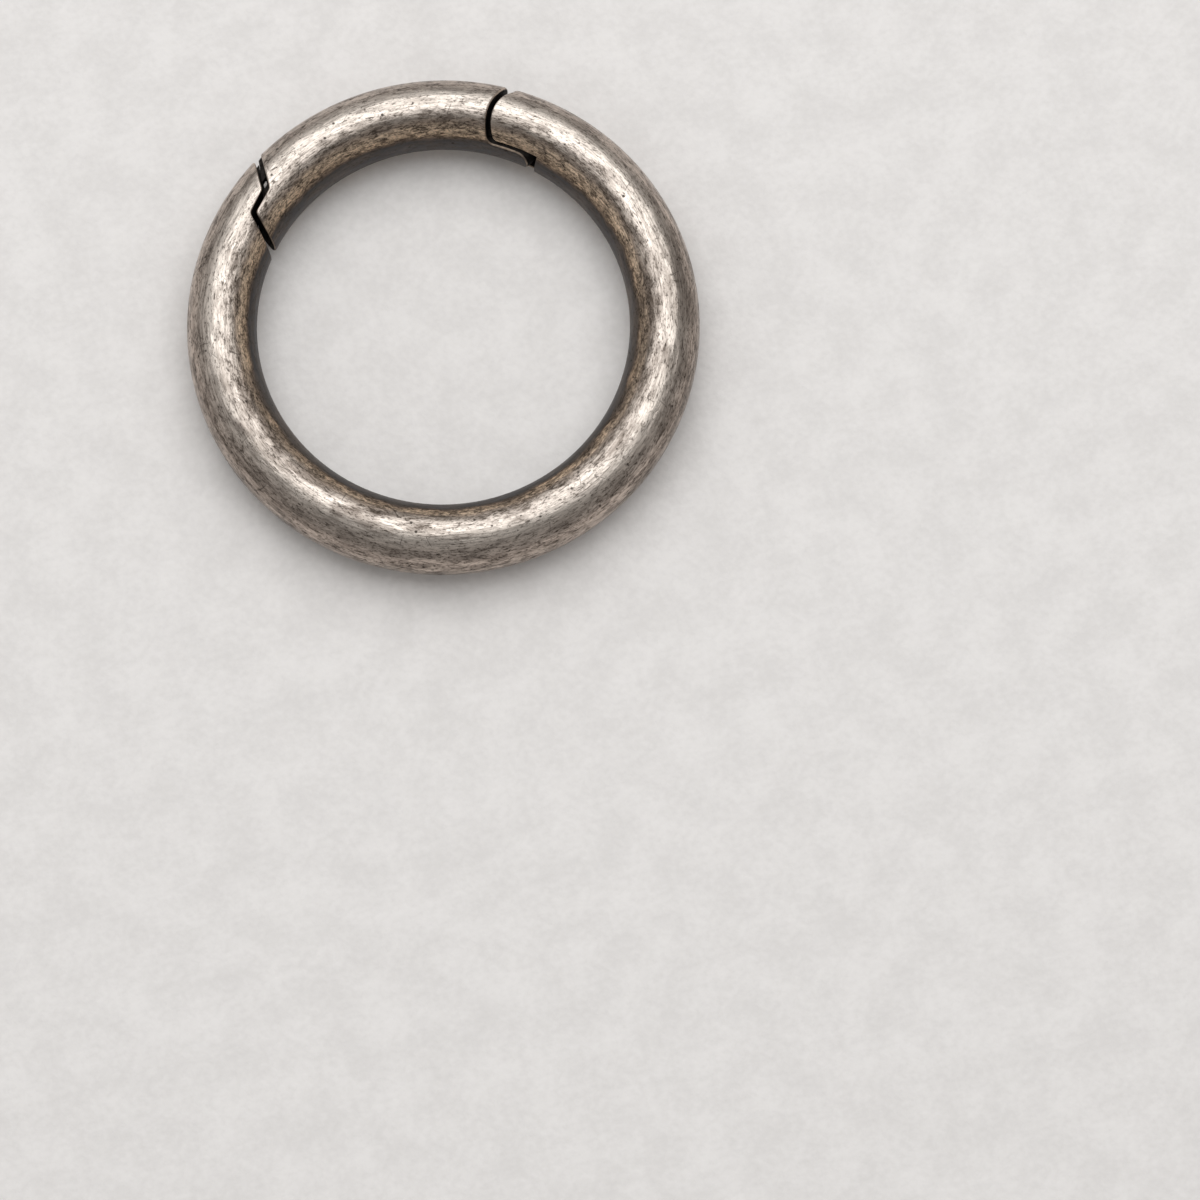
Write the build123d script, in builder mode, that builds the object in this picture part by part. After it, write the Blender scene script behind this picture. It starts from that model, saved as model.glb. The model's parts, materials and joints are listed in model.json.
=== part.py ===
from build123d import *
from math import acos, atan2, cos, degrees, hypot, pi, radians, sin, tan
import os

# Spring gate ring: a round ring for keys whose top arc is a gate that swings inwards on a pin and is
# closed again by a small torsion spring.  Millimetres.  The ring lies flat: +Z is its axis, the origin
# is its centre on the face it rests on, and +Y points at the middle of the gate.

os.makedirs("parts", exist_ok=True)

# ---------------------------------------------------------------- driving dimensions
RING_RADIUS = 19.0          # centreline of the wire
WIRE_RADIUS = 3.0
GATE_HALF_ANGLE = 40.72     # from the middle of the gate to the pin, and to the middle of the latch seam

PIN_RADIUS = 0.75
BORE_RADIUS = 0.80          # the gate turns on the pin with 0.05 of running clearance
PIN_BLIND_DEPTH = 0.70      # how far the pin enters the upper cheek, whose top stays whole

NOSE_CENTRE = (-0.50, -0.13)
NOSE_EDGE = -1.5            # no wire is cut on the body's side of this line, but for the slot
NOSE_RADIUS = 3.35          # round end of the body's two cheeks, tighter than the gate's hollow
NOSE_HEEL = [(-3.10, 1.97), (-2.78, 3.0)]   # outside, the cheeks' ends run on straight
SHOULDER_RADIUS = 4.24      # hollow end of the gate that faces them, about the pin
SHOULDER_TOP_ANGLE = 165.0  # above this direction the gate's shoulder runs straight, and the gap widens
SHOULDER_FOOT_ANGLE = 245.0
SLOT_HALF_HEIGHT = 1.70
STEP = 1.25                 # the slot ends in a flat step, this far past the pin
SWEEP_RADIUS = 3.08         # hollow under the step that lets the tongue's beak swing by
SWEEP_TOP_RADIUS = 2.84
SWEEP_FLAT = 0.40           # half height of the hollow where it is widest
SWEEP_SHOULDER = 1.25
SWEEP_HALF_HEIGHT = 1.45
TONGUE_HALF_HEIGHT = 1.35
EYE_RADIUS = 1.65           # round end of the tongue, about the pin
BEAK = (0.54, -2.96)        # corner of the tongue on the inside of the ring
WEB_INNER = 1.75            # inner face of the closed web outside the slot, from the wire's centreline
CHEEK_ROUND = 0.35
SHOULDER_ROUND = 0.50
TONGUE_END_ROUND = 1.20

SPRING_WIRE_RADIUS = 0.175
SPRING_COIL_RADIUS = 1.03
SPRING_TURNS = 3
SPRING_PITCH = 0.38
POCKET_RADIUS = 1.30
POCKET_HALF_HEIGHT = 0.85
LEG_HOLE_RADIUS = 0.24
GATE_LEG_LENGTH = 3.1
BODY_LEG_LENGTH = 4.2
LEG_HOLE_SPARE = 0.25

LAP_HALF_HEIGHT = 1.1       # the gate's rib and the body's ledge lap in the latch gap, rib above ledge
LAP_CLEARANCE = 0.05        # from the wire's middle plane to each of them
LAP_ROOT = 0.3              # how far each is carried into its own face
RIB_FOOT = 0.50             # the rib's two teeth leave a small window between these heights
RIB_WINDOW = 0.98
RIB_TOP = 2.30
RIB_GAP = (0.19, 0.45)      # from the body's slant, at the rib's foot and at its top
LEDGE_FOOT = 0.30
LEDGE_TOP = 2.35
LEDGE_GAP = 0.46            # from the gate's slant

LATCH_RIM_ROUND = 0.15      # worn edges where the joints break the wire's round surface
GATE_RIM_ROUND = 0.26
FORK_RIM_ROUND = 0.12

MID_Z = WIRE_RADIUS         # the wire's centreline above the resting face
PIN_ANGLE = 90 - GATE_HALF_ANGLE
LATCH_ANGLE = 90 + GATE_HALF_ANGLE
OVERRUN = 13.0              # degrees of wire left on each end before its joint is cut
CLEAR = 5.0                 # a cutter reaches this far past the wire's centreline


def wire_plane(angle):
    """Plane through the wire's centreline at an angle: X runs clockwise along the wire, Y outwards."""
    a = radians(angle)
    centre = (RING_RADIUS * cos(a), RING_RADIUS * sin(a), MID_Z)
    return Plane(origin=centre, x_dir=(sin(a), -cos(a), 0), z_dir=(0, 0, 1))


def section_plane(angle):
    """Upright plane through the ring's axis at an angle, for the wire's round section."""
    a = radians(angle)
    return Plane(origin=(0, 0, MID_Z), x_dir=(cos(a), sin(a), 0), z_dir=(sin(a), -cos(a), 0))


def polar(radius, angle):
    return (radius * cos(radians(angle)), radius * sin(radians(angle)))


def run_on(inner, outer, height):
    """Point at a height on the straight line that runs from one point out past another."""
    share = (height - outer[1]) / (outer[1] - inner[1])
    return (outer[0] + share * (outer[0] - inner[0]), height)


hinge = wire_plane(PIN_ANGLE)
latch = wire_plane(LATCH_ANGLE)

# The beak's end face runs straight from the beak and meets the tongue's round eye at a tangent.
beak_angle = degrees(atan2(BEAK[1], BEAK[0]))
eye_end_angle = beak_angle + degrees(acos(EYE_RADIUS / hypot(*BEAK)))
eye_end = polar(EYE_RADIUS, eye_end_angle)
beak_slope = (eye_end[0] - BEAK[0]) / (eye_end[1] - BEAK[1])
beak_foot = (BEAK[0] + beak_slope * (-CLEAR - BEAK[1]), -CLEAR)

# The spring's two legs run on from the coil, at its outer side: one low, into the body, and one high,
# into the gate.  Both keep the coil's slope.
coil_height = SPRING_TURNS * SPRING_PITCH
coil_slope = SPRING_PITCH / (2 * pi * SPRING_COIL_RADIUS)
leg_rise = hinge.z_dir * coil_slope - hinge.x_dir
body_leg_plane = Plane(
    origin=hinge.from_local_coords((0, SPRING_COIL_RADIUS, -coil_height / 2)), z_dir=-leg_rise
)
gate_leg_plane = Plane(
    origin=hinge.from_local_coords((0, SPRING_COIL_RADIUS, coil_height / 2)), z_dir=leg_rise
)

# ---------------------------------------------------------------- shapes cut from the wire
# Void at the body's hinge end: everything beyond the round noses, and the slot between the cheeks.
sweep_profile = [
    (0, -SWEEP_HALF_HEIGHT),
    (SWEEP_TOP_RADIUS, -SWEEP_HALF_HEIGHT),
    (SWEEP_TOP_RADIUS, -SWEEP_SHOULDER),
    (SWEEP_RADIUS, -SWEEP_FLAT),
    (SWEEP_RADIUS, SWEEP_FLAT),
    (SWEEP_TOP_RADIUS, SWEEP_SHOULDER),
    (SWEEP_TOP_RADIUS, SWEEP_HALF_HEIGHT),
    (0, SWEEP_HALF_HEIGHT),
]
with BuildPart() as sweep_hollow:
    with BuildSketch(Plane(origin=hinge.origin, x_dir=hinge.x_dir, z_dir=-hinge.y_dir)):
        Polygon(*sweep_profile, align=None)
    revolve(axis=Axis(hinge.origin, hinge.z_dir))
    with BuildSketch(hinge):
        with Locations((0, WEB_INNER)):
            Rectangle(4 * CLEAR, 2 * CLEAR, align=(Align.CENTER, Align.MIN))
    extrude(amount=CLEAR, both=True, mode=Mode.SUBTRACT)

with BuildPart() as fork_void:
    with BuildSketch(hinge):
        with Locations((NOSE_EDGE, 0)):
            Rectangle(2 * CLEAR, 2 * CLEAR, align=(Align.MAX, Align.CENTER))
        with Locations(NOSE_CENTRE):
            Circle(NOSE_RADIUS, mode=Mode.SUBTRACT)
        heel_foot, heel_top = NOSE_HEEL
        heel_far = run_on(heel_foot, heel_top, CLEAR)
        Polygon(heel_foot, heel_far, (0, CLEAR), (0, heel_foot[1]), align=None, mode=Mode.SUBTRACT)
    extrude(amount=CLEAR, both=True)
    with BuildSketch(hinge):
        with Locations((STEP, WEB_INNER)):
            Rectangle(3 * CLEAR, 2 * CLEAR, align=(Align.MAX, Align.MAX))
    extrude(amount=SLOT_HALF_HEIGHT, both=True)
    add(sweep_hollow.part)
    nose_lips = [
        e for e in fork_void.edges().filter_by(GeomType.CIRCLE)
        if abs(e.radius - NOSE_RADIUS) < 1e-6 and abs(e.center().Z - MID_Z) < SLOT_HALF_HEIGHT + 0.01
    ]
    fillet(nose_lips, radius=CHEEK_ROUND)

# The tongue before it takes the wire's form: a flat plate with a round eye and a beak.
with BuildPart() as tongue_plate:
    with BuildSketch(hinge):
        with BuildLine():
            eye = CenterArc((0, 0), EYE_RADIUS, eye_end_angle, 90 - eye_end_angle)
            Polyline(eye @ 1, (-2 * CLEAR, EYE_RADIUS), (-2 * CLEAR, -CLEAR), beak_foot, eye @ 0)
        make_face()
    extrude(amount=TONGUE_HALF_HEIGHT, both=True)
    plate_faces = tongue_plate.faces().filter_by(Axis.Z)
    end_edges = [e for e in plate_faces.edges() if hinge.to_local_coords(e.center()).X > 0.3]
    fillet(end_edges, radius=TONGUE_END_ROUND)

# Void at the gate's hinge end: everything beyond the hollow shoulder, apart from the tongue.
shoulder_top = polar(SHOULDER_RADIUS, SHOULDER_TOP_ANGLE)
shoulder_arc = SHOULDER_FOOT_ANGLE - SHOULDER_TOP_ANGLE
shoulder_lean = tan(radians(180 - SHOULDER_TOP_ANGLE))
with BuildPart() as tongue_void:
    with BuildSketch(hinge):
        with BuildLine():
            arc = CenterArc((0, 0), SHOULDER_RADIUS, SHOULDER_TOP_ANGLE, shoulder_arc)
            Polyline(
                arc @ 1,
                ((arc @ 1).X, -CLEAR),
                (2 * CLEAR, -CLEAR),
                (2 * CLEAR, CLEAR),
                (shoulder_top[0] + shoulder_lean * (CLEAR - shoulder_top[1]), CLEAR),
                arc @ 0,
            )
        make_face()
    extrude(amount=CLEAR, both=True)
    add(tongue_plate.part, mode=Mode.SUBTRACT)
    level = [e for e in tongue_void.edges() if abs(abs(e.center().Z - MID_Z) - TONGUE_HALF_HEIGHT) < 1e-6]
    shoulder_edges = [e for e in level if hinge.to_local_coords(e.center()).X < -3.5]
    fillet(shoulder_edges, radius=SHOULDER_ROUND)

# The latch seam is a Z-shaped gap.  The body's outer lip covers the gate's inner nose, so the gate can
# only swing inwards.  Both edges are given in the latch's own plane, from the outside to the inside.
BODY_LIP = [(3.62, 3.0), (1.02, 0.18), (-1.25, -0.10), (-2.86, -3.04)]
GATE_NOSE = [(4.50, 3.0), (1.46, -0.23), (-0.98, -0.45), (-2.20, -3.0)]
SEAM_OUTER_ROUND = 0.60
SEAM_INNER_ROUND = 0.55


def along(seam, height, shift=0.0):
    """Point at a height on the outer slant of a seam, moved sideways along the wire."""
    outer, inner = seam[0], seam[1]
    share = (height - inner[1]) / (outer[1] - inner[1])
    return (inner[0] + share * (outer[0] - inner[0]) + shift, height)


# The outer stretch of the gap is lapped, so that nothing thin slips through: the gate's rib passes just
# above the body's ledge.  The rib stands off more at its top, where the swing brings it nearer the body.
def rib_gap(height):
    share = (height - RIB_FOOT) / (RIB_TOP - RIB_FOOT)
    return RIB_GAP[0] + share * (RIB_GAP[1] - RIB_GAP[0])


upper_tooth = [
    along(BODY_LIP, RIB_WINDOW, rib_gap(RIB_WINDOW)),
    along(BODY_LIP, RIB_TOP, rib_gap(RIB_TOP)),
    along(GATE_NOSE, RIB_TOP, LAP_ROOT),
    along(GATE_NOSE, RIB_WINDOW, LAP_ROOT),
]
lower_tooth = [
    (0.80, -0.04),
    (1.15, 0.06),
    along(BODY_LIP, RIB_FOOT, rib_gap(RIB_FOOT)),
    along(GATE_NOSE, RIB_FOOT, LAP_ROOT),
    (1.70, -0.70),
    (0.80, -0.70),
]
ledge = [
    along(BODY_LIP, LEDGE_FOOT, -LAP_ROOT),
    along(BODY_LIP, LEDGE_TOP, -LAP_ROOT),
    along(GATE_NOSE, LEDGE_TOP, -LEDGE_GAP),
    along(GATE_NOSE, LEDGE_FOOT, -LEDGE_GAP),
]


def latch_void(seam, far):
    """Everything on one side of a latch edge, as a solid that cuts the wire."""
    outer, step_out, step_in, heel = seam
    with BuildPart() as void:
        with BuildSketch(latch):
            with BuildLine():
                top = run_on(step_out, outer, CLEAR)
                foot = run_on(step_in, heel, -CLEAR)
                FilletPolyline(top, step_out, step_in, foot, radius=(SEAM_OUTER_ROUND, SEAM_INNER_ROUND))
                Polyline(foot, (far, -CLEAR), (far, CLEAR), top)
            make_face()
        extrude(amount=CLEAR, both=True)
    return void.part


def rims(part, at_hinge):
    """Edges where a joint breaks the round surface of the wire, at the hinge end or at the latch end."""
    wire_face = part.faces().filter_by(GeomType.TORUS).sort_by(SortBy.AREA)[-1]
    outer_radius = RING_RADIUS + WIRE_RADIUS
    found = [e for e in wire_face.edges() if e.geom_type != GeomType.CIRCLE or e.radius < outer_radius - 0.1]
    return [e for e in found if (e.center().X > 0) == at_hinge]


# ---------------------------------------------------------------- ring body
body_start = LATCH_ANGLE - OVERRUN
body_sweep = 360 - 2 * GATE_HALF_ANGLE + 2 * OVERRUN
with BuildPart() as ring_body:
    with BuildSketch(section_plane(body_start)):
        with Locations((RING_RADIUS, 0)):
            Circle(WIRE_RADIUS)
    revolve(axis=Axis.Z, revolution_arc=body_sweep)
    add(fork_void.part, mode=Mode.SUBTRACT)
    add(latch_void(BODY_LIP, 2 * CLEAR), mode=Mode.SUBTRACT)
    fillet(rims(ring_body.part, at_hinge=False), radius=LATCH_RIM_ROUND)
    # the step's own rim is a thin lip over the hollow, and stays sharp
    fork_rims = rims(ring_body.part, at_hinge=True)
    fork_rims = [e for e in fork_rims if hinge.to_local_coords(e.center()).X < STEP - 0.01]
    fillet(fork_rims, radius=FORK_RIM_ROUND)
    # the pin's bore: through the lower cheek, and blind in the upper one
    pin_top = SLOT_HALF_HEIGHT + PIN_BLIND_DEPTH
    with BuildSketch(hinge.offset(-CLEAR)):
        Circle(PIN_RADIUS)
    extrude(amount=CLEAR + pin_top, mode=Mode.SUBTRACT)
    # the spring's leg lies in a small drilled hole in the root of the slot
    with BuildSketch(body_leg_plane):
        Circle(LEG_HOLE_RADIUS)
    extrude(amount=BODY_LEG_LENGTH + LEG_HOLE_SPARE, mode=Mode.SUBTRACT)
    # the ledge under the gate's rib
    with BuildSketch(latch.offset(-LAP_HALF_HEIGHT)):
        Polygon(*ledge, align=None)
    extrude(amount=LAP_HALF_HEIGHT - LAP_CLEARANCE)
ring_body.part.label = "ring_body"
export_step(ring_body.part, "parts/ring_body.step")

# ---------------------------------------------------------------- gate
gate_start = PIN_ANGLE - OVERRUN
gate_sweep = 2 * GATE_HALF_ANGLE + 2 * OVERRUN
with BuildPart() as gate:
    with BuildSketch(section_plane(gate_start)):
        with Locations((RING_RADIUS, 0)):
            Circle(WIRE_RADIUS)
    revolve(axis=Axis.Z, revolution_arc=gate_sweep)
    add(tongue_void.part, mode=Mode.SUBTRACT)
    add(latch_void(GATE_NOSE, -2 * CLEAR), mode=Mode.SUBTRACT)
    fillet(rims(gate.part, at_hinge=False), radius=LATCH_RIM_ROUND)
    fillet(rims(gate.part, at_hinge=True), radius=GATE_RIM_ROUND)
    # the tongue's bore, and the pocket that makes its end a fork round the spring
    with BuildSketch(hinge):
        Circle(BORE_RADIUS)
    extrude(amount=CLEAR, both=True, mode=Mode.SUBTRACT)
    with BuildSketch(hinge):
        Circle(POCKET_RADIUS)
        with BuildLine():
            Polyline((0, 0), polar(2 * CLEAR, eye_end_angle), (2 * CLEAR, CLEAR), (-0.3, CLEAR), (0, 0))
        make_face()
    extrude(amount=POCKET_HALF_HEIGHT, both=True, mode=Mode.SUBTRACT)
    with BuildSketch(gate_leg_plane):
        Circle(LEG_HOLE_RADIUS)
    extrude(amount=GATE_LEG_LENGTH + LEG_HOLE_SPARE, mode=Mode.SUBTRACT)
    # the rib's two teeth stand on the outer slant of the latch face
    with BuildSketch(latch.offset(LAP_CLEARANCE)):
        Polygon(*upper_tooth, align=None)
        Polygon(*lower_tooth, align=None)
    extrude(amount=LAP_HALF_HEIGHT - LAP_CLEARANCE)
gate.part.label = "gate"
export_step(gate.part, "parts/gate.step")

# ---------------------------------------------------------------- hinge pin
# It is pressed in from the underside, and its end is dressed flush with the round of the wire.
with BuildPart() as hinge_pin:
    with BuildSketch(section_plane(PIN_ANGLE - OVERRUN)):
        with Locations((RING_RADIUS, 0)):
            Circle(WIRE_RADIUS)
    revolve(axis=Axis.Z, revolution_arc=2 * OVERRUN)
    with BuildSketch(hinge.offset(-CLEAR)):
        Circle(PIN_RADIUS)
    extrude(amount=CLEAR + pin_top, mode=Mode.INTERSECT)
hinge_pin.part.label = "hinge_pin"
export_step(hinge_pin.part, "parts/hinge_pin.step")

# ---------------------------------------------------------------- gate spring
# One wire: the body's leg, three close turns round the pin, and the gate's leg.  It is wound about the
# origin, and then put on the pin.
with BuildPart() as wound_wire:
    with BuildLine():
        coil = Helix(SPRING_PITCH, coil_height, SPRING_COIL_RADIUS)
        body_leg = Line(coil @ 0 - (coil % 0) * BODY_LEG_LENGTH, coil @ 0)
        Line(coil @ 1, coil @ 1 + (coil % 1) * GATE_LEG_LENGTH)
    with BuildSketch(Plane(origin=body_leg @ 0, z_dir=body_leg % 0)):
        Circle(SPRING_WIRE_RADIUS)
    sweep()
coil_foot = hinge.from_local_coords((0, 0, -coil_height / 2))
on_the_pin = Plane(origin=coil_foot, x_dir=hinge.y_dir, z_dir=hinge.z_dir)
gate_spring = wound_wire.part.moved(on_the_pin.location)
gate_spring.label = "gate_spring"
export_step(gate_spring, "parts/gate_spring.step")
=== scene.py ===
# %% [markdown]
# # Dressing a spring gate ring
# A spring gate ring is a ring for keys, cast in zinc alloy with the round section of a wire.  Its top arc
# is a gate: it swings inwards on a pin, and a small torsion spring closes it again.  The CAD gives the
# exact solids, and they stay as they are.  Here they get their finish, antique nickel worn by years of
# use, and a floor, lamps and a camera.

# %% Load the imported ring
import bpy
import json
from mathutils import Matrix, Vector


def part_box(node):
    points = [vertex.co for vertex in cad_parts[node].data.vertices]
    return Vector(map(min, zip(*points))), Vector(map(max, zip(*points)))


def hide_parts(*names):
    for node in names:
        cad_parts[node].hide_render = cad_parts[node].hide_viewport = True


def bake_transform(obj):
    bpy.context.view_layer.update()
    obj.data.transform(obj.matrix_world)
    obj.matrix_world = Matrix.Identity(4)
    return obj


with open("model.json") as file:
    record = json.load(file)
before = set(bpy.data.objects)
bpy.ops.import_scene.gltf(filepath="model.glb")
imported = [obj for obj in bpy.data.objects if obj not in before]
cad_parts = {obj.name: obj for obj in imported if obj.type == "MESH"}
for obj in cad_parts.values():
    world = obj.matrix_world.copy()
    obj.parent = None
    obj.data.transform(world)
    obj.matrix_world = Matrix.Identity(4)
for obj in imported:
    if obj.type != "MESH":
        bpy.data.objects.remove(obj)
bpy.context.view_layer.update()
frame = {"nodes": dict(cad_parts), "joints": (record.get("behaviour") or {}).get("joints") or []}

# %% [markdown]
# ## Units
# Blender measures in metres, but a ring this small is easier to think of in millimetres.  So its sizes
# are written as a number times MM here, and they are printed in millimetres again.

# %% Tools for this lesson
import json
from math import atan2, cos, pi, radians, sin

import bpy
from mathutils import Matrix, Vector

MM = 0.001
FULL_TURN = 2 * pi


# %% [markdown]
# ## The ring's own measures
# The ring's section is called the wire here, though it is cast.  Every piece is placed by the ring's own
# measures.  They could be typed in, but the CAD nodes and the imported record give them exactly: the radius
# of the wire, the radius of the circle that it follows, and the axis of the hinge.

# %% Measure the ring
low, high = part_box("ring_body")
WIRE_R = (high.z - low.z) / 2
RING_R = high.x - WIRE_R
MID_Z = (high.z + low.z) / 2
hinge = next(j for j in frame["joints"] if j["name"] == "gate_hinge")
HINGE = Vector(hinge["pos_m"])
print(f"wire radius {WIRE_R / MM:.3f} mm, ring radius {RING_R / MM:.3f} mm")
print("hinge axis at", [round(x / MM, 3) for x in HINGE], "mm")

# %% [markdown]
# ## Camera
# The camera looks steeply down on the ring, from a little to the left, so that the hinge is at the upper
# right.  A short lens from close by would make the near side of the ring larger than the far side, so a
# long lens looks from further away.  The ring sits above and to the left of the middle of the picture.

# %% Set the camera
VIEW_TURN = radians(-16.28)
VIEW_TILT = radians(14.09)
VIEW_DISTANCE = 0.51203
LOOK_AT = Vector((0.00630, -0.02635, 0.0))

camera_data = bpy.data.cameras.new("camera")
camera_data.lens = 180
camera_data.sensor_width = 36
camera_data.clip_start = 0.01
camera_data.clip_end = 20
camera = bpy.data.objects.new("camera", camera_data)
bpy.context.scene.collection.objects.link(camera)
camera.rotation_euler = (VIEW_TILT, 0, VIEW_TURN)
camera.location = LOOK_AT + camera.rotation_euler.to_matrix() @ Vector((0, 0, VIEW_DISTANCE))
bpy.context.scene.camera = camera
print("camera at", [round(x, 4) for x in camera.location])

# %% [markdown]
# ## Light
# Polished metal shows its surroundings, so small lamps would leave hard spots on it.  These lamps are
# large and soft.  A soft box hangs over the ring, on the side away from the camera, and gives the bright
# band along the wire.  Behind it a larger and dimmer one stands for the pale wall of a studio, and a
# white card fills in from the left.  The room itself is dim and even, and the dark bands on the wire
# show it.

# %% Hang the lamps
def hang_lamp(name, azimuth, elevation, distance, width, height, power):
    """A flat soft box that faces the ring.  Azimuth 0 is the camera's right, and 90 is away from it."""
    data = bpy.data.lights.new(name, "AREA")
    data.shape = "RECTANGLE"
    data.size = width
    data.size_y = height
    data.energy = power
    turn = radians(azimuth) + VIEW_TURN
    rise = radians(elevation)
    direction = Vector((cos(rise) * cos(turn), cos(rise) * sin(turn), sin(rise)))
    lamp = bpy.data.objects.new(name, data)
    bpy.context.scene.collection.objects.link(lamp)
    lamp.location = direction * distance
    lamp.rotation_euler = direction.to_track_quat("Z", "Y").to_euler()
    print(f"{name}: {power} W, {width} by {height} m, {distance} m away")


hang_lamp("soft_box", azimuth=82, elevation=66, distance=0.60, width=0.86, height=0.66, power=2.58)
hang_lamp("studio_wall", azimuth=106, elevation=48, distance=1.3, width=1.9, height=1.7, power=2.3)
hang_lamp("side_card", azimuth=186, elevation=28, distance=1.2, width=1.3, height=1.0, power=0.9)

# %% Light the room
world = bpy.data.worlds.new("room")
bpy.context.scene.world = world
world.use_nodes = True
room = world.node_tree.nodes["Background"]
room.inputs["Color"].default_value = (1.0, 0.985, 0.97, 1)
room.inputs["Strength"].default_value = 0.38

bpy.context.scene.view_settings.view_transform = "Standard"
print("the room's own light:", round(room.inputs["Strength"].default_value, 2))

# %% [markdown]
# ## Working with nodes
# A finish is a tree of shader nodes.  It could be drawn by hand in the Shader Editor, but in a script
# every number stays in sight.  A few helpers keep the trees short to write: each adds a node, fills its
# inputs and gives back its output.  A plain value is written into the socket, and another node's output
# is linked to it.

# %% Helpers for node trees
def add_node(tree, kind, inputs=None, **options):
    """Adds a node.  inputs maps a socket's name or number to a value or to an output to link."""
    made = tree.nodes.new(kind)
    for option, value in options.items():
        setattr(made, option, value)
    for key, value in (inputs or {}).items():
        socket = made.inputs[key]
        if isinstance(value, bpy.types.NodeSocket):
            tree.links.new(value, socket)
        else:
            socket.default_value = value
    return made


def maths(tree, operation, *values):
    """A Math node's output; values are numbers or outputs."""
    return add_node(tree, "ShaderNodeMath", dict(enumerate(values)), operation=operation).outputs[0]


MIX_SHARE, MIX_FIRST, MIX_SECOND, MIX_COLOUR = 0, 6, 7, 2    # a Mix node's sockets for colour


def ease(tree, value, start, end, to_start=0.0, to_end=1.0):
    """Goes smoothly from one level to another while value goes from start to end."""
    inputs = {"Value": value, "From Min": start, "From Max": end, "To Min": to_start, "To Max": to_end}
    return add_node(tree, "ShaderNodeMapRange", inputs, interpolation_type="SMOOTHSTEP").outputs[0]


def mix_colour(tree, share, first, second):
    """Blends two colours; share is 0 for the first and 1 for the second."""
    first, second = [(*paint, 1) if isinstance(paint, tuple) else paint for paint in (first, second)]
    inputs = {MIX_SHARE: share, MIX_FIRST: first, MIX_SECOND: second}
    return add_node(tree, "ShaderNodeMix", inputs, data_type="RGBA").outputs[MIX_COLOUR]


def new_finish(name, preview):
    """A material with only its shader and output, and the colour that it has in the viewport."""
    material = bpy.data.materials.new(name)
    material.use_nodes = True
    material.diffuse_color = (*preview, 1)
    shader = material.node_tree.nodes["Principled BSDF"]
    return material, material.node_tree, shader


print("helpers:", ", ".join(made.__name__ for made in (add_node, maths, ease, mix_colour, new_finish)))

# %% [markdown]
# ## Floor
# The ring lies on a sheet of thick, pale, slightly warm paper.  Its surface is soft and has the faint
# clouding and tooth of cotton paper, so it isn't one flat colour, even where it is out of the shadow.
# Real bumps would need a very fine mesh, so the floor is flat: a broad noise gives the clouding, and a
# finer one the tooth.

# %% Mix the paper
CLOUDS_PER_METRE = 260.0
TOOTH_PER_METRE = 1500.0
TOOTH_DEPTH = 0.2 * MM

paper, tree, shader = new_finish("pale_paper", (0.75, 0.735, 0.72))
place = add_node(tree, "ShaderNodeTexCoord").outputs["Object"]
clouding = {"Vector": place, "Scale": CLOUDS_PER_METRE, "Detail": 3.0}
clouding = add_node(tree, "ShaderNodeTexNoise", clouding).outputs[0]
tooth = {"Vector": place, "Scale": TOOTH_PER_METRE, "Detail": 2.0}
tooth = add_node(tree, "ShaderNodeTexNoise", tooth).outputs[0]
shade = maths(tree, "ADD", maths(tree, "MULTIPLY", clouding, 0.6), maths(tree, "MULTIPLY", tooth, 0.4))
colour = mix_colour(tree, ease(tree, shade, 0.3, 0.7), (0.805, 0.785, 0.77), (0.895, 0.875, 0.86))
tree.links.new(colour, shader.inputs["Base Color"])
grain = add_node(tree, "ShaderNodeBump", {"Height": shade, "Strength": 0.5, "Distance": TOOTH_DEPTH})
tree.links.new(grain.outputs[0], shader.inputs["Normal"])
shader.inputs["Roughness"].default_value = 0.9
shader.inputs["Specular IOR Level"].default_value = 0.2
print("paper:", len(tree.nodes), "nodes")

# %% Lay the floor
FLOOR_HALF = 3.0
corners = [(x * FLOOR_HALF, y * FLOOR_HALF, 0) for x, y in ((-1, -1), (1, -1), (1, 1), (-1, 1))]
floor_mesh = bpy.data.meshes.new("floor")
floor_mesh.from_pydata(corners, [], [(0, 1, 2, 3)])
floor_mesh.materials.append(paper)
floor = bpy.data.objects.new("floor", floor_mesh)
bpy.context.scene.collection.objects.link(floor)
print("floor:", 2 * FLOOR_HALF, "m wide")

# %% [markdown]
# ## A place on the wire
# The marks of wear follow the wire round the ring, so the finish needs to know where on the wire a point
# lies.  A UV map could say so, but the CAD meshes have none and stay as they are.  The point's own
# coordinates give it too, by a little geometry: how far it is from the ring's axis and from the wire's
# centreline, and the angle round the wire.  A point below the wire's round surface lies in a joint, where
# nothing rubs, and that depth is used as well.

# %% Find the place on the wire
def vector_maths(tree, operation, *values):
    """A Vector Math node's outputs: the first is a vector, and the one called Value is a number."""
    return add_node(tree, "ShaderNodeVectorMath", dict(enumerate(values)), operation=operation).outputs


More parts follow.
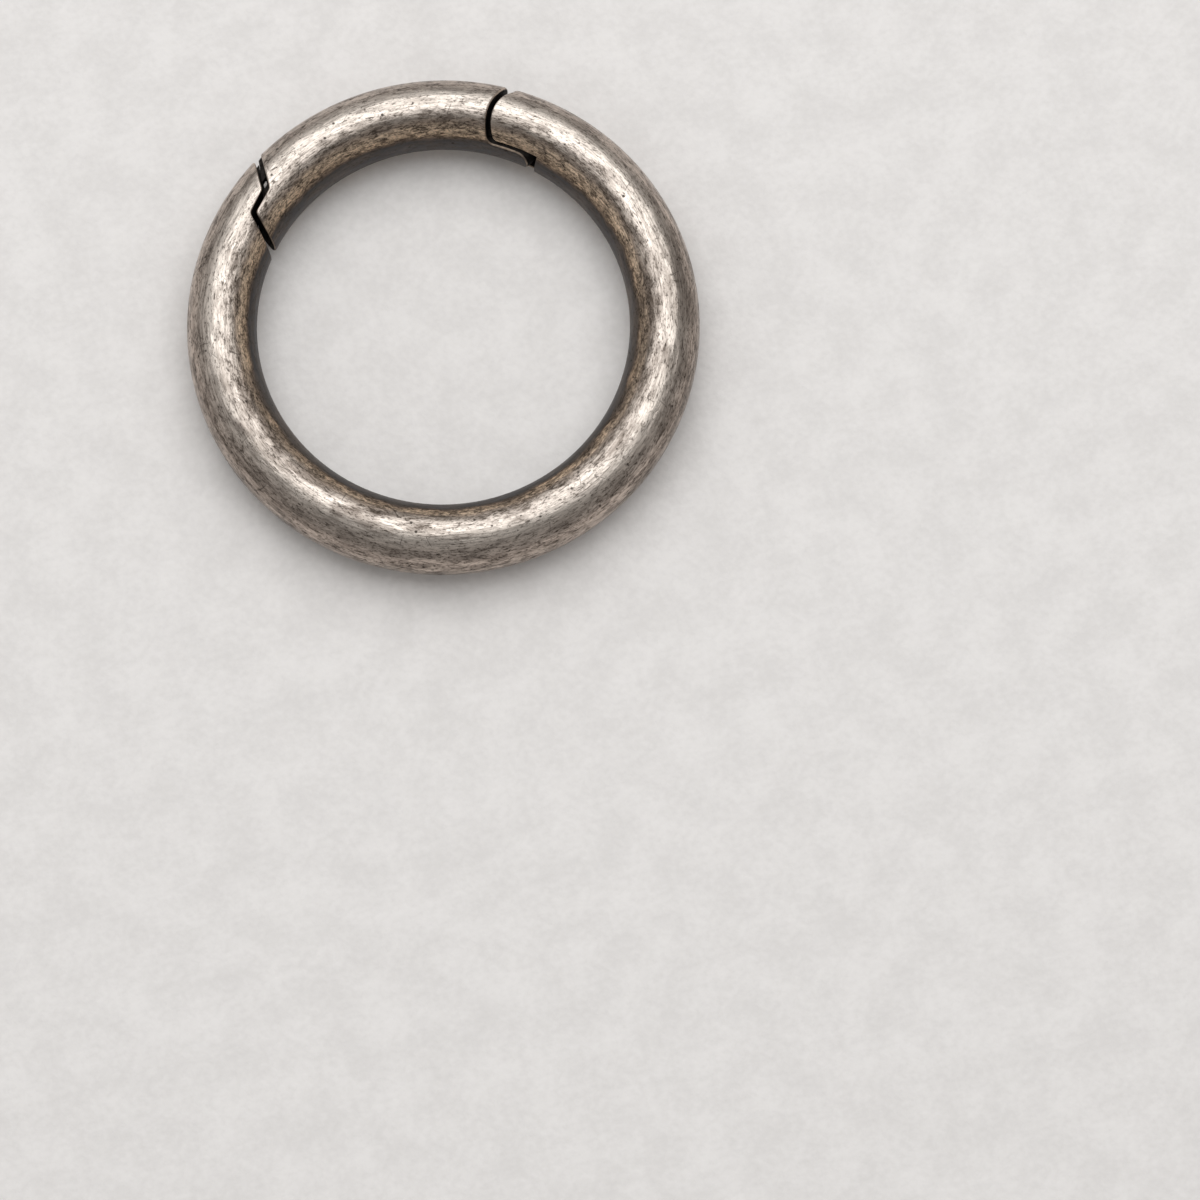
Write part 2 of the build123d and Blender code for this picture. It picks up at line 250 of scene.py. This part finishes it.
def wire_place(tree):
    """What a pattern needs to know about a point: lengths in millimetres and angles in radians."""
    point = add_node(tree, "ShaderNodeTexCoord").outputs["Object"]
    mm = add_node(tree, "ShaderNodeVectorMath", {0: point, "Scale": 1 / MM}, operation="SCALE").outputs[0]
    x, y, z = add_node(tree, "ShaderNodeSeparateXYZ", {0: mm}).outputs
    height = maths(tree, "SUBTRACT", z, MID_Z / MM)
    flat = add_node(tree, "ShaderNodeCombineXYZ", {0: x, 1: y}).outputs[0]
    reach = vector_maths(tree, "LENGTH", flat)["Value"]
    off = maths(tree, "SUBTRACT", reach, RING_R / MM)
    section = add_node(tree, "ShaderNodeCombineXYZ", {0: off, 1: height}).outputs[0]
    away = vector_maths(tree, "LENGTH", section)["Value"]
    return {
        "point": mm,
        "east": maths(tree, "DIVIDE", x, reach),                  # the direction from the ring's axis
        "north": maths(tree, "DIVIDE", y, reach),
        "reach": reach,                                           # the distance from the ring's axis
        "height": height,                                         # above the wire's centreline
        "depth": maths(tree, "SUBTRACT", WIRE_R / MM, away),      # below the wire's round surface
        "turn": maths(tree, "ABSOLUTE", maths(tree, "ARCTAN2", height, off)),    # 0 outside, pi inside
        "round": maths(tree, "ARCTAN2", y, x),                    # the angle round the ring
    }


print(f"once round the ring, the wire is {FULL_TURN * RING_R / MM:.1f} mm long")

# %% [markdown]
# ## Patterns drawn out along the wire
# Polishing and use leave marks that are longer along the wire than across it.  Noise in the point's own
# coordinates would have round grains, and noise in angles would have a seam where the angle starts again.
# Noise with four coordinates has neither fault.  Two of them go round a circle with the ring, and the
# size of that circle sets the grain's length.  The distance from the axis and the height are the other
# two, and they set its width.

# %% Helpers for drawn-out patterns
def drawn(tree, at, length, width, shift=0.0):
    """Coordinates for a pattern with grains of this length and width, in millimetres."""
    stretch = RING_R / MM / length
    vector = add_node(tree, "ShaderNodeCombineXYZ", {
        0: maths(tree, "MULTIPLY_ADD", at["east"], stretch, shift),
        1: maths(tree, "MULTIPLY_ADD", at["north"], stretch, shift),
        2: maths(tree, "DIVIDE", at["reach"], width),
    })
    return {"Vector": vector.outputs[0], "W": maths(tree, "DIVIDE", at["height"], width), "Scale": 1.0}


def drawn_noise(tree, at, length, width, detail=2.0, rough=0.5, distortion=0.0, shift=0.0):
    """Noise drawn out along the wire, from 0 to 1."""
    inputs = drawn(tree, at, length, width, shift)
    inputs.update({"Detail": detail, "Roughness": rough, "Distortion": distortion})
    return add_node(tree, "ShaderNodeTexNoise", inputs, noise_dimensions="4D").outputs[0]


print(f"for grains 1 mm long, that circle's radius is {RING_R / MM:.0f}")

# %% [markdown]
# ## Antique nickel: the film
# The castings are nickel plated, then darkened, and then rubbed bright where hands and keys reach them.
# One metal colour would look like new chrome, and a picture wrapped round the wire would show its seam.
# So the finish is built up in layers.  The first is the film that the darkening left: pale and warm on
# the outer flank, thinnest on top, brown just inside the top, golden on the inner flank, and dark as
# slate on the inner wall.  Its zones waver, because no hand polishes evenly.

# %% Find the zones of the film
def zones(tree, value, stops):
    """A colour or a level that follows a value through these stops: each is (value, colour or level)."""
    ramp = add_node(tree, "ShaderNodeValToRGB", {0: value})
    band = ramp.color_ramp
    while len(band.elements) < len(stops):
        band.elements.new(0.5)
    for element, (position, paint) in zip(band.elements, stops):
        element.position = position
        element.color = (*paint, 1) if isinstance(paint, tuple) else (paint, paint, paint, 1)
    return ramp.outputs[0]


GATE_AT = radians(70)
WAVER = 0.13
NARROWING = 0.05
nickel, tree, shader = new_finish("worn_nickel", (0.46, 0.43, 0.4))
at = wire_place(tree)
cloud = drawn_noise(tree, at, length=3.2, width=1.0, detail=3.0, rough=0.6)
turn = maths(tree, "DIVIDE", at["turn"], pi)          # 0 outside, 0.5 on top, 1 inside
turn = maths(tree, "MULTIPLY_ADD", maths(tree, "SUBTRACT", cloud, 0.5), WAVER, turn)

# the golden band is narrower opposite the gate, where the keys hang
gate_side = maths(tree, "COSINE", maths(tree, "SUBTRACT", at["round"], GATE_AT))
narrowed = maths(tree, "MULTIPLY_ADD", gate_side, -NARROWING, NARROWING / 2)
turn = maths(tree, "MULTIPLY_ADD", narrowed, ease(tree, turn, 0.62, 0.76), turn)
print("zones:", len(tree.nodes), "nodes")

# %% Colour the film
film = zones(tree, turn, [
    (0.00, (0.66, 0.56, 0.485)), (0.20, (0.64, 0.54, 0.47)), (0.31, (0.62, 0.54, 0.475)),
    (0.40, (0.75, 0.68, 0.61)), (0.52, (0.78, 0.70, 0.63)), (0.57, (0.57, 0.505, 0.45)),
    (0.61, (0.40, 0.35, 0.305)), (0.65, (0.42, 0.335, 0.27)), (0.69, (0.98, 0.76, 0.56)),
    (0.765, (0.90, 0.67, 0.47)), (0.795, (0.24, 0.178, 0.135)), (0.825, (0.075, 0.072, 0.074)),
    (1.00, (0.088, 0.088, 0.092)),
])
print("film:", len(tree.nodes), "nodes")

# %% [markdown]
# ## Tarnish and streaks
# The film isn't even.  Two stretches of the ring have kept more of it, smoky patches lie on top of that,
# and polishing along the wire has left it finely streaked.  One noise for all of this would look like
# marble, so each has its own, with its own size of grain, and darkens what lies below.

# %% Leave more film on two stretches
TARNISH_BROWN = (0.19, 0.155, 0.13)
TARNISH_GAIN = 0.24
way_round = maths(tree, "MULTIPLY_ADD", at["round"], 1 / FULL_TURN, 0.5)
tarnish = zones(tree, way_round, [
    (0.0, 0.50), (0.055, 0.95), (0.12, 0.55), (0.20, 0.30), (0.33, 0.35), (0.43, 0.70), (0.475, 0.90),
    (0.53, 0.30), (0.62, 0.15), (0.78, 0.05), (0.93, 0.10), (1.0, 0.50),
])
tarnish = maths(tree, "MULTIPLY_ADD", tarnish, TARNISH_GAIN, cloud)
colour = mix_colour(tree, ease(tree, tarnish, 0.50, 0.84, 0.0, 0.72), film, TARNISH_BROWN)
print("tarnished film:", len(tree.nodes), "nodes")

# %% Darken it in smoky patches
SMOKE_BROWN = (0.13, 0.105, 0.088)
smoke = drawn_noise(tree, at, length=1.7, width=0.50, detail=4.0, rough=0.62, distortion=0.3, shift=9.0)
thick = zones(tree, turn, [
    (0.0, 0.62), (0.30, 0.62), (0.38, 0.30), (0.50, 0.36), (0.55, 0.60), (0.60, 0.90), (0.66, 0.80),
    (0.71, 0.50),
])
smoky = maths(tree, "MULTIPLY", ease(tree, smoke, 0.43, 0.66), thick)
colour = mix_colour(tree, smoky, colour, SMOKE_BROWN)
print("smoky film:", len(tree.nodes), "nodes")

# %% Streak it along the wire
STREAK_BROWN = (0.11, 0.09, 0.075)
FINE_BROWN = (0.09, 0.075, 0.065)
streak = drawn_noise(tree, at, length=2.4, width=0.13, detail=3.0, rough=0.62)
fine = drawn_noise(tree, at, length=0.9, width=0.045, detail=2.0, rough=0.6, shift=7.0)
colour = mix_colour(tree, ease(tree, streak, 0.46, 0.68, 0.0, 0.50), colour, STREAK_BROWN)
colour = mix_colour(tree, ease(tree, fine, 0.50, 0.72, 0.0, 0.42), colour, FINE_BROWN)
print("streaked film:", len(tree.nodes), "nodes")

# %% [markdown]
# ## Dark matter in the pits
# The darkening stays in all that is lower than the surface.  Under a lens the wire is covered with short
# dashes that run roughly along it, closest together on the flanks and most of all in the golden band.
# Modelled pits would number thousands.  Noise above a threshold makes such dashes with ragged edges, and
# the threshold changes round the wire.

# %% Fill the pits
amount = zones(tree, turn, [
    (0.0, 0.50), (0.28, 0.48), (0.36, 0.34), (0.50, 0.35), (0.57, 0.50), (0.64, 0.54), (0.69, 0.62),
    (0.78, 0.66), (0.84, 0.34), (1.0, 0.34),
])


def dashes(length, width, gain, start, end, shift):
    """Dashes of dark matter of about this length and width, more of them where the amount is high."""
    noise = drawn_noise(tree, at, length, width, detail=2.0, rough=0.65, distortion=0.5, shift=shift)
    level = maths(tree, "MULTIPLY_ADD", maths(tree, "SUBTRACT", amount, 0.5), gain, noise)
    return ease(tree, level, start, end)


BLOTCH_BROWN = (0.078, 0.059, 0.045)
DASH_BROWN = (0.052, 0.040, 0.031)
blotch = dashes(length=0.70, width=0.26, gain=0.34, start=0.52, end=0.66, shift=3.0)
dash = dashes(length=0.32, width=0.105, gain=0.26, start=0.49, end=0.63, shift=17.0)
colour = mix_colour(tree, maths(tree, "MULTIPLY", blotch, 0.62), colour, BLOTCH_BROWN)
dash_share = maths(tree, "MULTIPLY", dash, ease(tree, smoke, 0.38, 0.60, 0.40, 0.88))
colour = mix_colour(tree, dash_share, colour, DASH_BROWN)
print("film with filled pits:", len(tree.nodes), "nodes")

# %% [markdown]
# ## Ticks and pin pricks
# Knocks leave single ticks, and gas in the casting leaves round pricks.  Noise can't make marks that
# stand alone, but the cells of a Voronoi texture can.  Each cell's colour is a random number that sets
# the size of its mark, so most cells have none, and a few have a large one.

# %% Set ticks and pricks
def cell_marks(cells, share, ragged, softness):
    """A dark mark in the middle of the cells, of a size that each cell's colour picks."""
    pick = add_node(tree, "ShaderNodeSeparateXYZ", {0: cells.outputs["Color"]}).outputs[0]
    uneven = maths(tree, "SUBTRACT", fine, 0.5)
    edge = maths(tree, "MULTIPLY_ADD", uneven, ragged, cells.outputs["Distance"])
    edge = maths(tree, "MULTIPLY_ADD", pick, -share, edge)
    return ease(tree, edge, -softness / 2, softness, 1.0, 0.0)


PRICK_CELLS_PER_MM = 0.95
long_cells = drawn(tree, at, length=0.62, width=0.20)
long_cells = add_node(tree, "ShaderNodeTexVoronoi", long_cells, voronoi_dimensions="4D")
tick = cell_marks(long_cells, share=0.25, ragged=0.30, softness=0.08)
round_cells = add_node(tree, "ShaderNodeTexVoronoi", {"Vector": at["point"], "Scale": PRICK_CELLS_PER_MM})
prick = cell_marks(round_cells, share=0.11, ragged=0.22, softness=0.06)
print("ticks and pricks:", len(tree.nodes), "nodes so far")

# %% [markdown]
# ## Scratches
# A scratch is short, straight and thin.  Noise would bend it, and a stripe pattern would repeat it.  But
# a plane through the middle of a cell cuts the wire's surface in just such a line, and the cell's colour
# picks how the plane leans and whether there is a scratch at all.

# %% Scratch the metal
def scratches(size, share, width):
    """Straight scratches of about half the cells' size, in that share of them; sizes in millimetres."""
    cells = add_node(tree, "ShaderNodeTexVoronoi", {"Vector": at["point"], "Scale": 1 / size}).outputs
    pick = add_node(tree, "ShaderNodeSeparateXYZ", {0: cells["Color"]}).outputs[2]
    offset = vector_maths(tree, "SUBTRACT", at["point"], cells["Position"])[0]
    lean = vector_maths(tree, "SUBTRACT", cells["Color"], (0.5, 0.5, 0.5))[0]
    lean = vector_maths(tree, "NORMALIZE", lean)[0]
    off_plane = vector_maths(tree, "DOT_PRODUCT", offset, lean)["Value"]
    line = ease(tree, maths(tree, "ABSOLUTE", off_plane), width * 0.4, width * 1.8, 1.0, 0.0)
    ends = ease(tree, cells["Distance"], 0.18, 0.36, 1.0, 0.0)
    picked = maths(tree, "LESS_THAN", pick, share)
    return maths(tree, "MULTIPLY", maths(tree, "MULTIPLY", line, ends), picked)


def strongest(tree, first, *others):
    """Where marks lie over each other, only the strongest counts."""
    for mark in others:
        first = maths(tree, "MAXIMUM", first, mark)
    return first


long_scratch = scratches(size=3.6, share=0.5, width=0.034)
short_scratch = scratches(size=1.8, share=0.4, width=0.020)
scratch = strongest(tree, long_scratch, short_scratch)
print("scratches:", len(tree.nodes), "nodes so far")

# %% [markdown]
# ## Wandering hair marks
# Between the scratches there are short hair marks that wander like worn engraving.  Drawing each as a
# curve would take too long.  The places where a smooth noise passes its middle value are such lines, and
# a second noise keeps only short pieces of them.

# %% Draw the hair marks
HAIR_EDGE, HAIR_HALF_WIDTH = 0.006, 0.030       # how far from the noise's middle value
hair_noise = drawn_noise(tree, at, length=1.2, width=0.30, detail=2.0, distortion=0.6, shift=13.0)
hair = maths(tree, "ABSOLUTE", maths(tree, "SUBTRACT", hair_noise, 0.5))
hair = ease(tree, hair, HAIR_EDGE, HAIR_HALF_WIDTH, 1.0, 0.0)
patch = drawn_noise(tree, at, length=0.9, width=0.30, detail=1.0, shift=11.0)
hair = maths(tree, "MULTIPLY", hair, ease(tree, patch, 0.49, 0.60, 0.0, 0.6))
print("hair marks:", len(tree.nodes), "nodes so far")

# %% Darken all these marks
MARK_BLACK = (0.040, 0.032, 0.027)
faint_tick = maths(tree, "MULTIPLY", tick, 0.85)
faint_scratch = maths(tree, "MULTIPLY", scratch, 0.75)
dark = strongest(tree, faint_tick, prick, faint_scratch, hair)
colour = mix_colour(tree, maths(tree, "MULTIPLY", dark, 0.85), colour, MARK_BLACK)
print("all dark marks:", len(tree.nodes), "nodes")

# %% [markdown]
# ## In the joints
# The rims of the joints are rubbed, so a warm bright line follows them.  What lies deeper was never
# rubbed, and is full of dark matter: black with a little brown in it, and quite dull.  A pointiness mask
# would need a much finer mesh, and the depth below the wire's round surface finds both places exactly.

# %% Light the rims and blacken the joints
RIM_STARTS, RIM_FULL = 0.02, 0.05               # depths in millimetres
BLACK_STARTS, BLACK_FULL = 0.11, 0.17
rim = ease(tree, at["depth"], RIM_STARTS, RIM_FULL)
rim = maths(tree, "MULTIPLY", rim, ease(tree, smoke, 0.40, 0.62, 0.75, 0.25))
colour = mix_colour(tree, rim, colour, (0.44, 0.345, 0.265))
recess = ease(tree, at["depth"], BLACK_STARTS, BLACK_FULL)
black = mix_colour(tree, ease(tree, smoke, 0.40, 0.62), (0.052, 0.046, 0.042), (0.016, 0.014, 0.013))
colour = mix_colour(tree, recess, colour, black)
tree.links.new(colour, shader.inputs["Base Color"])
shader.inputs["Metallic"].default_value = 1.0
print("nickel with its joints:", len(tree.nodes), "nodes")

# %% [markdown]
# ## Gloss and relief
# Rubbed metal is fairly glossy and dark matter is dull, so the same marks set the roughness.  Even gloss
# would make the dark marks look printed on.  Two bumps give the relief: a long, shallow wave, as hand
# polishing leaves it, and then the streaks and cut marks.  Both are far too shallow to need a finer mesh.

# %% Set the gloss
roughness = maths(tree, "MULTIPLY_ADD", fine, 0.14, ease(tree, turn, 0.60, 0.85, 0.26, 0.42))
roughness = maths(tree, "MULTIPLY_ADD", maths(tree, "SUBTRACT", smoke, 0.5), 0.3, roughness)
dull = maths(tree, "MULTIPLY", strongest(tree, dark, recess, blotch), 0.62)
tree.links.new(strongest(tree, roughness, dull), shader.inputs["Roughness"])
print("nickel with its gloss:", len(tree.nodes), "nodes")

# %% Add the relief and dress the castings
def dress(name, material):
    """Gives a CAD node its finish; its mesh stays as it is."""
    node = frame["nodes"][name]
    node.data.materials.clear()
    node.data.materials.append(material)
    print(name, "wears", material.name)


WAVE_HEIGHT = 0.09 * MM
MARK_DEPTH = 0.02 * MM
wave = drawn_noise(tree, at, length=2.8, width=0.85, detail=2.0, rough=0.55, shift=5.0)
waved = add_node(tree, "ShaderNodeBump", {"Height": wave, "Strength": 1.0, "Distance": WAVE_HEIGHT})
relief = maths(tree, "MULTIPLY_ADD", dash, -0.35, maths(tree, "MULTIPLY", streak, 0.45))
relief = maths(tree, "MULTIPLY_ADD", strongest(tree, prick, scratch), -0.7, relief)
marked = {"Height": relief, "Strength": 0.5, "Distance": MARK_DEPTH, "Normal": waved.outputs[0]}
marked = add_node(tree, "ShaderNodeBump", marked)
tree.links.new(marked.outputs[0], shader.inputs["Normal"])
for name in ("ring_body", "gate"):
    dress(name, nickel)
print("antique nickel:", len(tree.nodes), "nodes")

# %% [markdown]
# ## Hinge pin
# A short steel pin is pressed in from below, and its end is filed flush with the round of the wire.  The
# CAD solid has that shape, so only its finish is made: bare steel, dull from handling, with the fine
# parallel lines of the file and a little rust brown.  A noise that is stretched far more one way than the
# other gives such lines.  A Mapping node stretches first and turns afterwards, so its turn leaves the
# lines where they are, and only brings another part of the noise under the pin.

# %% Finish the pin
FILE_GRAIN = (1200, 14000, 1200)                # grains to the metre, finest across the file's stroke
NOISE_TURN = (0, 0, radians(35))
STAINS_PER_METRE = 1800.0
LINE_DEPTH = 0.01 * MM

pin_steel, tree, shader = new_finish("filed_steel", (0.45, 0.44, 0.43))
point = add_node(tree, "ShaderNodeTexCoord").outputs["Object"]
filed = {0: point, "Rotation": NOISE_TURN, "Scale": FILE_GRAIN}
filed = add_node(tree, "ShaderNodeMapping", filed).outputs[0]
lines = add_node(tree, "ShaderNodeTexNoise", {0: filed, "Scale": 1.0, "Detail": 3.0}).outputs[0]
stain = {0: point, "Scale": STAINS_PER_METRE, "Detail": 4.0}
stain = add_node(tree, "ShaderNodeTexNoise", stain).outputs[0]
steel = mix_colour(tree, ease(tree, lines, 0.35, 0.65), (0.30, 0.29, 0.28), (0.52, 0.51, 0.49))
steel = mix_colour(tree, ease(tree, stain, 0.54, 0.70, 0.0, 0.8), steel, (0.12, 0.075, 0.045))
tree.links.new(steel, shader.inputs["Base Color"])
shader.inputs["Metallic"].default_value = 1.0
tree.links.new(ease(tree, stain, 0.5, 0.7, 0.34, 0.62), shader.inputs["Roughness"])
cut_lines = add_node(tree, "ShaderNodeBump", {"Height": lines, "Strength": 0.4, "Distance": LINE_DEPTH})
tree.links.new(cut_lines.outputs[0], shader.inputs["Normal"])
dress("hinge_pin", pin_steel)

# %% [markdown]
# ## Spring steel
# The spring is hard drawn steel wire with a film of old oil on it.  Clean steel would be too bright in
# the dark of the joint, so a noise lays on patches darker and duller than the steel: partly old oil, and
# partly painted shade for the dark joint.

# %% Steel for the spring
OIL_PER_METRE = 2500.0
OIL_HEIGHT = 0.01 * MM

spring_steel, tree, shader = new_finish("drawn_spring_wire", (0.30, 0.29, 0.28))
point = add_node(tree, "ShaderNodeTexCoord").outputs["Object"]
oil = add_node(tree, "ShaderNodeTexNoise", {0: point, "Scale": OIL_PER_METRE, "Detail": 4.0}).outputs[0]
# dark patches: partly old oil, partly painted shade that keeps the spring dark in the joint
oil_and_joint_shade = mix_colour(tree, ease(tree, oil, 0.4, 0.65), (0.42, 0.40, 0.38), (0.16, 0.13, 0.11))
tree.links.new(oil_and_joint_shade, shader.inputs["Base Color"])
shader.inputs["Metallic"].default_value = 1.0
tree.links.new(ease(tree, oil, 0.4, 0.65, 0.25, 0.5), shader.inputs["Roughness"])
oil_film = add_node(tree, "ShaderNodeBump", {"Height": oil, "Strength": 0.3, "Distance": OIL_HEIGHT})
tree.links.new(oil_film.outputs[0], shader.inputs["Normal"])
print("spring steel:", len(tree.nodes), "nodes")

# %% [markdown]
# ## Gate spring
# The gate closes by a torsion spring: three close turns of wire round the pin, and a straight leg at
# each end, one in the body and one in the gate.  A Screw modifier could wind the turns, but the legs
# would have to be joined on.  The whole wire follows one rule, though.  Along the coil a point goes round
# the pin, and past either end of the coil it runs on straight.  Geometry Nodes write that rule as a
# formula on a divided line, and then give the line its thickness.

# %% A tree with the spring's sizes
SPRING = {"Wire Radius": 0.175 * MM, "Coil Radius": 1.03 * MM, "Turns": 3.0, "Pitch": 0.38 * MM,
          "Body Leg": 4.2 * MM, "Gate Leg": 3.1 * MM}
winder = bpy.data.node_groups.new("wind_spring", "GeometryNodeTree")
sizes = {}
for name in SPRING:
    sizes[name] = winder.interface.new_socket(name, in_out="INPUT", socket_type="NodeSocketFloat")
winder.interface.new_socket("Geometry", in_out="OUTPUT", socket_type="NodeSocketGeometry")
given = winder.nodes.new("NodeGroupInput").outputs
result = winder.nodes.new("NodeGroupOutput").inputs
wound_length = SPRING["Turns"] * FULL_TURN * SPRING["Coil Radius"]
wire_length = wound_length + SPRING["Body Leg"] + SPRING["Gate Leg"]
print("the spring is", round(wire_length / MM, 1), "mm of wire")

# %% How far along the wire a point is
turn_length = maths(winder, "MULTIPLY", given["Coil Radius"], FULL_TURN)
coil_length = maths(winder, "MULTIPLY", given["Turns"], turn_length)
whole = maths(winder, "ADD", maths(winder, "ADD", given["Body Leg"], given["Gate Leg"]), coil_length)
share = add_node(winder, "GeometryNodeSplineParameter").outputs["Factor"]
way = maths(winder, "SUBTRACT", maths(winder, "MULTIPLY", share, whole), given["Body Leg"])
on_coil = maths(winder, "MINIMUM", maths(winder, "MAXIMUM", way, 0.0), coil_length)
past = maths(winder, "SUBTRACT", way, on_coil)         # below 0 on the body's leg, above 0 on the gate's
print("the way along the wire:", len(winder.nodes), "nodes")

# %% Where the rule puts it
angle = maths(winder, "DIVIDE", on_coil, given["Coil Radius"])
cosine = maths(winder, "COSINE", angle)
sine = maths(winder, "SINE", angle)
x_on_coil = maths(winder, "MULTIPLY", cosine, given["Coil Radius"])
y_on_coil = maths(winder, "MULTIPLY", sine, given["Coil Radius"])
x = maths(winder, "SUBTRACT", x_on_coil, maths(winder, "MULTIPLY", sine, past))
y = maths(winder, "ADD", y_on_coil, maths(winder, "MULTIPLY", cosine, past))
z = maths(winder, "MULTIPLY", way, maths(winder, "DIVIDE", given["Pitch"], turn_length))
place = add_node(winder, "ShaderNodeCombineXYZ", {0: x, 1: y, 2: z}).outputs[0]
print("the rule:", len(winder.nodes), "nodes")

# %% From a line to a wire
POINTS_ALONG = 330
SIDES = 16
line = add_node(winder, "GeometryNodeCurvePrimitiveLine").outputs[0]
line = add_node(winder, "GeometryNodeResampleCurve", {0: line, "Count": POINTS_ALONG}).outputs[0]
wound = add_node(winder, "GeometryNodeSetPosition", {0: line, "Position": place}).outputs[0]
profile = {"Resolution": SIDES, "Radius": given["Wire Radius"]}
profile = add_node(winder, "GeometryNodeCurvePrimitiveCircle", profile).outputs[0]
wire = add_node(winder, "GeometryNodeCurveToMesh", {0: wound, 1: profile, "Fill Caps": True}).outputs[0]
wire = add_node(winder, "GeometryNodeRealizeInstances", {0: wire}).outputs[0]
wire = add_node(winder, "GeometryNodeSetMaterial", {0: wire, "Material": spring_steel}).outputs[0]
winder.links.new(wire, result[0])
print("the whole winder:", len(winder.nodes), "nodes")

# %% Wind it and bake it
bench = bpy.data.objects.new("winding", bpy.data.meshes.new("winding"))
bpy.context.scene.collection.objects.link(bench)
winding = bench.modifiers.new("winding", "NODES")
winding.node_group = winder
for name, size in SPRING.items():
    winding[sizes[name].identifier] = size
bpy.context.view_layer.update()
evaluated = bench.evaluated_get(bpy.context.evaluated_depsgraph_get())
spring_mesh = bpy.data.meshes.new_from_object(evaluated)
bpy.data.objects.remove(bench)
for face in spring_mesh.polygons:
    face.use_smooth = len(face.vertices) == 4          # the two round ends stay flat
print("spring:", len(spring_mesh.polygons), "faces")

# %% Put it on the pin
outward = atan2(HINGE.y, HINGE.x)
rise = Vector((0, 0, SPRING["Turns"] * SPRING["Pitch"] / 2))
spring_mesh.transform(Matrix.Translation(HINGE - rise) @ Matrix.Rotation(outward, 4, "Z"))
spring = bpy.data.objects.new("gate_spring_wire", spring_mesh)
bpy.context.scene.collection.objects.link(spring)
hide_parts("gate_spring")

made = [pick(v.co[i] for v in spring_mesh.vertices) for pick in (min, max) for i in range(3)]
solid = [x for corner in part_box("gate_spring") for x in corner]
off = max(abs(a - b) for a, b in zip(made, solid))
print(f"the spring's box is within {off / MM:.3f} mm of the solid's")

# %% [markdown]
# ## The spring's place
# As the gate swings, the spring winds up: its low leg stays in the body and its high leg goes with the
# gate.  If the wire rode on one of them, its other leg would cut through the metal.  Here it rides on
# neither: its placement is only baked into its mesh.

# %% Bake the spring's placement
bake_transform(spring)
print("the spring winds up over a height of", round(2 * rise.z / MM, 2), "mm")
